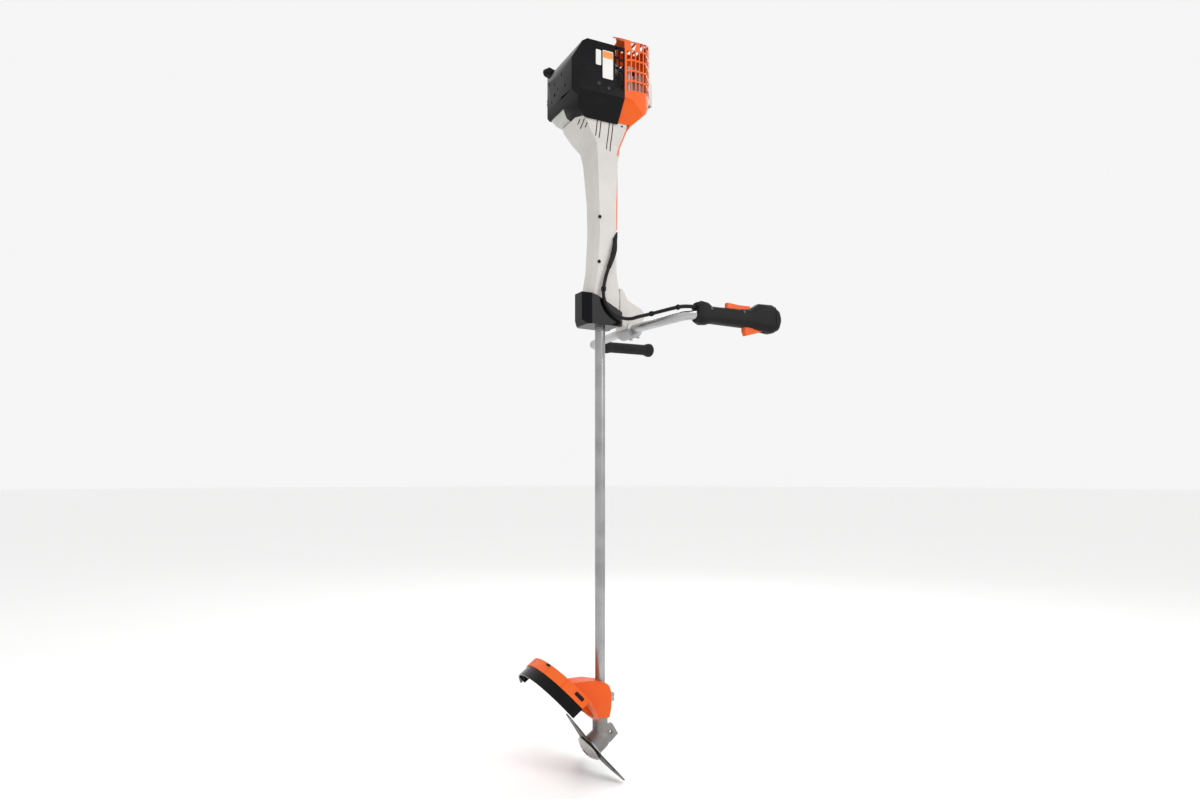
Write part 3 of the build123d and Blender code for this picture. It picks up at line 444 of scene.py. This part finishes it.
# left grip: a ribbed sleeve, radius = sleeve outline + small ripples along the ribbed part
gripLook = {"start": 0.139, "end": 0.302, "ribStart": 0.168, "ribEnd": 0.272, "ribRamp": 0.006, "ribs": 26,
            "ribDepth": 0.0006, "sides": 72}
gripStation = np.linspace(gripLook["start"], gripLook["end"], 360)
gripShape = np.interp(gripStation,
                      [0.139, 0.1405, 0.146, 0.156, 0.166, 0.276, 0.287, 0.294, 0.299, 0.302],
                      [0.0150, 0.0172, 0.0186, 0.0178, 0.0152, 0.0152, 0.0192, 0.0198, 0.0184, 0.0135])
gripShape = np.convolve(np.pad(gripShape, 6, mode="edge"), np.ones(13) / 13, mode="valid")
fromStart = gripStation - gripLook["ribStart"]
ribbed = np.clip(fromStart / gripLook["ribRamp"], 0, 1)
ribbed = ribbed * np.clip((gripLook["ribEnd"] - gripStation) / gripLook["ribRamp"], 0, 1)
ribPitch = (gripLook["ribEnd"] - gripLook["ribStart"]) / gripLook["ribs"]
ripple = (0.5 + 0.5 * np.cos(fromStart * 2 * math.pi / ribPitch)) * gripLook["ribDepth"]
gripShape = gripShape - ribbed * ripple
gripProfile = np.stack([gripStation, gripShape], 1)
gripProfile = np.concatenate([[[gripLook["start"], 0.0112]], gripProfile, [[gripLook["end"], 0.0]]])
leftGrip = surface("ribbedLeftGrip", [turned((0, 0.258, -0.007), (1, 0, 0), gripProfile,
                                             gripLook["sides"])])
settle(leftGrip, "blackRubber", "handlebar", ("left_grip",))

# rider plate: a domed cup turned about the knife's axis
cupLook = {"start": 0.034, "sides": 96}
cupOutline = [(0.0, 0.0085), (0.0, 0.0235), (0.0016, 0.0242), (0.0018, 0.0345), (0.0026, 0.0358),
              (0.0040, 0.0359),
              (0.0062, 0.0347), (0.0086, 0.0326), (0.0094, 0.0309), (0.0098, 0.0292), (0.0124, 0.0268),
              (0.0132, 0.0251),
              (0.0136, 0.0232), (0.0152, 0.0204), (0.0160, 0.0186), (0.0163, 0.0165), (0.0172, 0.0135),
              (0.0173, 0.0112), (0.0169, 0.0103), (0.0155, 0.0112), (0.0136, 0.0180), (0.0112, 0.0240),
              (0.0082, 0.0285), (0.0045, 0.0312), (0.0045, 0.0085), (0.0, 0.0085)]
cupStart = gearPoint + gearAxis * cupLook["start"]
riderCup = surface("domedRiderCup", [turned(cupStart, gearAxis, cupOutline, cupLook["sides"])], 24.0)
settle(riderCup, "riderSteel", "cutter", ("rider_plate",))
print("grip and rider cup made")


def splinePath(name, route, steps=16):
    # the smooth line of a route, read from its spline
    curve = bpy.data.curves.new(name, "CURVE")
    curve.dimensions = "3D"
    line = curve.splines.new("NURBS")
    line.points.add(len(route) - 1)
    for spot, place in zip(line.points, route):
        spot.co = (*place, 1.0)
    line.order_u = 3
    line.use_endpoint_u = True
    line.resolution_u = steps
    holder = bpy.data.objects.new(name, curve)
    bpy.context.scene.collection.objects.link(holder)
    mesh = bpy.data.meshes.new_from_object(holder)
    points = np.array([spot.co[:] for spot in mesh.vertices])
    bpy.data.objects.remove(holder)
    keep = np.append(True, np.linalg.norm(np.diff(points, axis=0), axis=1) > 1e-6)
    return points[keep]


def evenly(points, gap):
    # the same line with its points an even gap apart
    length = np.append(0, np.cumsum(np.linalg.norm(np.diff(points, axis=0), axis=1)))
    place = np.linspace(0, length[-1], int(length[-1] / gap) + 1)
    return np.stack([np.interp(place, length, points[:, part]) for part in range(3)], 1), place


# throttle cable: one ribbed sleeve, radius = body + ripple, along the whole way to the control handle
cableLook = {"radius": 0.0043, "ripple": 0.00022, "pitch": 0.0042}
cableRoute = [(0.022, -0.0365, 0.212), (0.019, -0.042, 0.180), (0.008, -0.043, 0.150),
              (-0.004, -0.043, 0.120),
              (-0.012, -0.044, 0.090), (-0.015, -0.046, 0.062), (-0.005, -0.048, 0.036),
              (0.016, -0.051, 0.019),
              (0.036, -0.056, 0.011), (0.051, -0.070, 0.009), (0.051, -0.100, 0.009),
              (0.060, -0.122, 0.010),
              (0.074, -0.146, 0.013), (0.087, -0.175, 0.016), (0.092, -0.204, 0.016),
              (0.092, -0.230, 0.014),
              (0.093, -0.250, 0.011), (0.106, -0.258, 0.010), (0.116, -0.258, 0.010)]
cableLine = splinePath("cableLine", cableRoute)
cablePath, cablePlace = evenly(cableLine, 0.0007)
cableTurn = cablePlace * 2 * math.pi / cableLook["pitch"]
cableRadius = cableLook["radius"] + cableLook["ripple"] * np.cos(cableTurn)
cable = surface("ribbedThrottleCable", [swept(cablePath, cableRadius, (0, 1, -1), 16)])
settle(cable, "cableSkin", None, ("throttle_cable_rear", "throttle_cable_front"))
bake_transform(cable)

# tapered boot where the cable leaves the housing: radius swells from a point, then narrows to the cable
bootLook = {"top": 0.0014, "widest": 0.0068, "end": 0.0054}
bootRoute = [(0.030, -0.0345, 0.228), (0.024, -0.0365, 0.214), (0.019, -0.042, 0.180),
             (0.009, -0.043, 0.152),
             (0.002, -0.043, 0.136)]
bootPath, bootPlace = evenly(splinePath("bootLine", bootRoute), 0.001)
bootShare = bootPlace / bootPlace[-1]
bootRadius = np.interp(bootShare, [0, 0.12, 0.5, 0.85, 1.0],
                       [bootLook["top"], 0.0040, bootLook["widest"], 0.0060, bootLook["end"]])
boot = surface("taperedCableBoot", [swept(bootPath, bootRadius, (0, 1, -1), 28)])
settle(boot, "blackRubber", "frame")

# clips round the cable: short sleeves with raised ends
clipLook = {"length": 0.006}


def clipRing(spot, direction, length=clipLook["length"]):
    outline = [(-0.5, 0.0044), (-0.5, 0.0058), (-0.35, 0.0062), (0.35, 0.0062), (0.5, 0.0058),
               (0.5, 0.0044),
               (-0.5, 0.0044)]
    return turned(spot, direction, [(along * length, radius) for along, radius in outline], 32)


def nearest(spot):
    place = int(np.argmin(np.linalg.norm(cablePath - np.array(spot), axis=1)))
    place = min(max(place, 2), len(cablePath) - 3)
    return cablePath[place], cablePath[place + 2] - cablePath[place - 2]


housingClips = surface("housingCableClips", [clipRing(*nearest((-0.013, -0.045, 0.082)), length=0.010)])
settle(housingClips, "plainBlack", "frame")
barClips = surface("barCableClips", [clipRing(*nearest((0.068, -0.136, 0.012)), length=0.008),
                                     clipRing(*nearest((0.092, -0.216, 0.015)), length=0.006)])
settle(barClips, "plainBlack", "handlebar")
print("throttle cable made:", round(float(cablePlace[-1]), 3), "m")

# starter rope: a stretching cord between the rear cover and its grip, slightly lumpy as a braid
ropeLook = {"radius": 0.0018, "lump": 0.00010}
pull = np.array((math.cos(math.radians(113.6)), math.sin(math.radians(113.6)), 0.0))
tangent = np.array((-pull[1], pull[0], 0.0)) * 0.028
ropeStart = tangent + pull * 0.022 + np.array((0, 0, 0.661))
ropeEnd = tangent + pull * 0.124 + np.array((0, 0, 0.661))
ropeShare = np.linspace(0, 1, 240)
ropePath = ropeStart + ropeShare[:, None] * (ropeEnd - ropeStart)
ropeRadius = ropeLook["radius"] - ropeLook["lump"] * (1 + np.cos(ropeShare * 2 * math.pi * 42))
rope = surface("braidedStarterRope", [swept(ropePath, ropeRadius, (0, 0, 1), 14)])
settle(rope, "ropeBraid", None, ("starter_rope",))
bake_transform(rope)
print("starter rope made")


def screwHead(spot, direction, radius, height=0.0022):
    # a round head with a socket: profile from the rim over the crown and down into the socket
    outline = [(-height * 0.5, 0.0), (-height * 0.5, radius), (height * 0.6, radius),
               (height, radius * 0.86),
               (height, radius * 0.46), (height * 0.15, radius * 0.42), (height * 0.15, 0.0)]
    return turned(spot, direction, outline, 28)


# small fastenings: heads seated on the covers, the housing and the deflector
bodyScrews = surface("coverScrews", [
    screwHead((-0.0540, -0.0998, 0.5505), (0, -1, 0), 0.0045),
    screwHead((-0.0280, -0.0998, 0.5440), (0, -1, 0), 0.0040),
    screwHead((0.0300, -0.0560, 0.4800), (0, -0.5, -1), 0.0045),
    screwHead((0.0300, 0.0560, 0.4800), (0, 0.5, -1), 0.0045),
    screwHead((-0.1118, 0.0300, 0.5650), (-1, 0, 0), 0.0045),
    screwHead((-0.1118, -0.0300, 0.5650), (-1, 0, 0), 0.0045),
], 30.0)
# cover screws coloured near black: painted shade of their recesses
settle(bodyScrews, "recessShadeSteel", "frame")
housingScrews = surface("housingScrews", [
    screwHead((-0.0180, -0.0342, 0.2600), (0, -1, 0), 0.0042),
    screwHead((-0.0200, -0.0344, 0.3600), (0, -1, 0), 0.0042),
    screwHead((-0.0200, -0.0345, 0.1500), (0, -1, 0), 0.0042),
], 30.0)
settle(housingScrews, "plainBlack", "frame")

# blank plates where labels sit on the right side of the engine cover
plateLook = {"thick": 0.0005, "corner": 0.0025}
whitePlate = surface("blankPalePlate", [slab((-0.0550, -0.1000, 0.6120), (1, 0, 0), (0, 0, 1),
                                             (0.014, 0.036),
                                             plateLook["corner"], plateLook["thick"])], 30.0)
settle(whitePlate, "labelPaper", "frame")
widePlate = surface("blankWidePlate", [slab((-0.0300, -0.1000, 0.5990), (1, 0, 0), (0, 0, 1),
                                            (0.028, 0.066),
                                            plateLook["corner"], plateLook["thick"])], 30.0)
settle(widePlate, "labelPaper", "frame")
bandPlate = surface("blankOrangeBand", [slab((-0.0300, -0.1005, 0.6220), (1, 0, 0), (0, 0, 1),
                                             (0.026, 0.016),
                                             0.002, 0.0003)], 30.0)
settle(bandPlate, "labelOrange", "frame")
print("screws and plates made")

# wing nut on the deflector's arm: a hub and two flat ears
wingLook = {"spot": (0.0320, 0.0, -0.9320)}
wingSpot = np.array(wingLook["spot"])
wingNut = surface("deflectorWingNut", [
    turned(wingSpot, (1, 0, 0), [(-0.014, 0.0), (-0.014, 0.0040), (-0.004, 0.0040), (-0.004, 0.006),
                                 (0.003, 0.0055),
                                 (0.006, 0.0040), (0.006, 0.0)], 36),
    slab(wingSpot + np.array((0.004, 0.0015, 0.007)), (1, 0, 0.5), (-0.5, 0, 1), (0.008, 0.010), 0.0035,
         0.003),
    slab(wingSpot + np.array((0.004, 0.0015, -0.007)), (1, 0, -0.5), (0.5, 0, 1), (0.008, 0.010), 0.0035,
         0.003),
], 35.0)
settle(wingNut, "plainSteel", "frame")

# dark inserts and mould seams on the deflector's rim, each set square to the rim's arc
guardLook = {"radius": 0.212, "forward": 0.018, "side": 0.064, "knife": 0.031}
guardBack = np.array((-math.sin(gearTilt), 0.0, math.cos(gearTilt)))


def onRim(angle, height, size, corner, thick):
    turn = math.radians(angle)
    outward = guardBack * math.cos(turn) + np.array((0.0, math.sin(turn), 0.0))
    spot = gearPoint + gearAxis * (guardLook["knife"] - height) + guardBack * guardLook["forward"]
    spot = spot + np.array((0.0, guardLook["side"], 0.0)) + outward * (guardLook["radius"] - 0.0003)
    return slab(spot, np.cross(-gearAxis, outward), -gearAxis, size, corner, thick)


rimInserts = surface("deflectorInserts", [onRim(-9, 0.0430, (0.016, 0.006), 0.0015, 0.0010),
                                          onRim(-45, 0.0350, (0.027, 0.009), 0.0030, 0.0012)], 30.0)
settle(rimInserts, "plainBlack", "frame")
rimSeams = surface("deflectorSeams", [onRim(-31, 0.0335, (0.0014, 0.0255), 0.0006, 0.0007),
                                      onRim(-12, 0.0335, (0.0014, 0.0255), 0.0006, 0.0007),
                                      onRim(12, 0.0335, (0.0014, 0.0255), 0.0006, 0.0006)], 30.0)
settle(rimSeams, "orange", "frame")

# seam ring round the control handle near its outer end: an oval band, half height and half width swept round
seamLook = {"x": 0.3300, "y": -0.258, "low": -0.0336, "high": 0.0296, "half": 0.0206, "squareness": 0.62,
            "sides": 96}
seamAngle = np.linspace(0, 2 * math.pi, seamLook["sides"] + 1)
seamAcross = np.sign(np.cos(seamAngle)) * np.abs(np.cos(seamAngle)) ** seamLook["squareness"]
seamUp = np.sign(np.sin(seamAngle)) * np.abs(np.sin(seamAngle)) ** seamLook["squareness"]
seamRows = []
for along, grow in ((-0.0012, 0.0), (-0.0006, 0.0004), (0.0006, 0.0004), (0.0012, 0.0), (-0.0012, 0.0)):
    half = (seamLook["high"] - seamLook["low"]) / 2 + grow
    seamRows.append(np.stack([
        np.full(len(seamAngle), seamLook["x"] + along),
        seamLook["y"] + (seamLook["half"] + grow) * seamAcross,
        (seamLook["low"] + seamLook["high"]) / 2 + half * seamUp,
    ], 1))
seamRing = surface("handleSeamRing", [np.stack(seamRows)])
settle(seamRing, "plainBlack", "handlebar")
print("deflector nut and handle ring made")

# a wide round floor: rings about the origin, closed at the middle
stageLook = {"floor": -1.115, "radius": 40.0}
floorRing = [(0.0, 0.0), (0.0, 2.0), (0.0, 8.0), (0.0, stageLook["radius"])]
backdrop = surface("paleFloor", [turned((0, 0, stageLook["floor"]), (0, 0, 1), floorRing, 96)], 60.0, False)
floorFinish = Finish("paleFloor")
floorFinish.color(floorFinish.mix(floorFinish.noise(3.0, 3.0), (0.95, 0.95, 0.945), (0.93, 0.93, 0.925)))
floorFinish.fixed(Roughness=0.75)
backdrop.data.materials.append(floorFinish.material)


def softLight(name, place, target, size, power, tint=(1, 1, 1)):
    light = bpy.data.lights.new(name, "AREA")
    light.energy = power
    light.size = size
    light.color = tint
    holder = bpy.data.objects.new(name, light)
    holder.location = place
    holder.rotation_euler = (Vector(target) - Vector(place)).to_track_quat("-Z", "Y").to_euler()
    bpy.context.scene.collection.objects.link(holder)


softLight("overhead", (-0.6, -1.0, 2.8), (0, 0, 0), 1.8, 26)
softLight("rightSide", (1.6, -2.6, 1.1), (0, 0, 0), 1.4, 30)
softLight("behind", (1.8, 2.2, 1.6), (0, 0, 0), 1.6, 22)
world = bpy.data.worlds.new("studio")
bpy.context.scene.world = world
world.use_nodes = True
world.node_tree.nodes["Background"].inputs["Color"].default_value = (1.0, 1.0, 1.0, 1.0)
world.node_tree.nodes["Background"].inputs["Strength"].default_value = 0.92

viewLook = {"place": (-0.908, -1.782, -0.366), "turn": -27.0, "lens": 24.0, "shift": 0.0604}
cameraData = bpy.data.cameras.new("view")
cameraData.lens = viewLook["lens"]
cameraData.sensor_width = 36.0
cameraData.shift_y = viewLook["shift"]
camera = bpy.data.objects.new("view", cameraData)
camera.location = viewLook["place"]
camera.rotation_euler = (math.radians(90), 0, math.radians(viewLook["turn"]))
bpy.context.scene.collection.objects.link(camera)
bpy.context.scene.camera = camera
bpy.context.scene.view_settings.view_transform = "Standard"
print("stage, lights and camera ready")
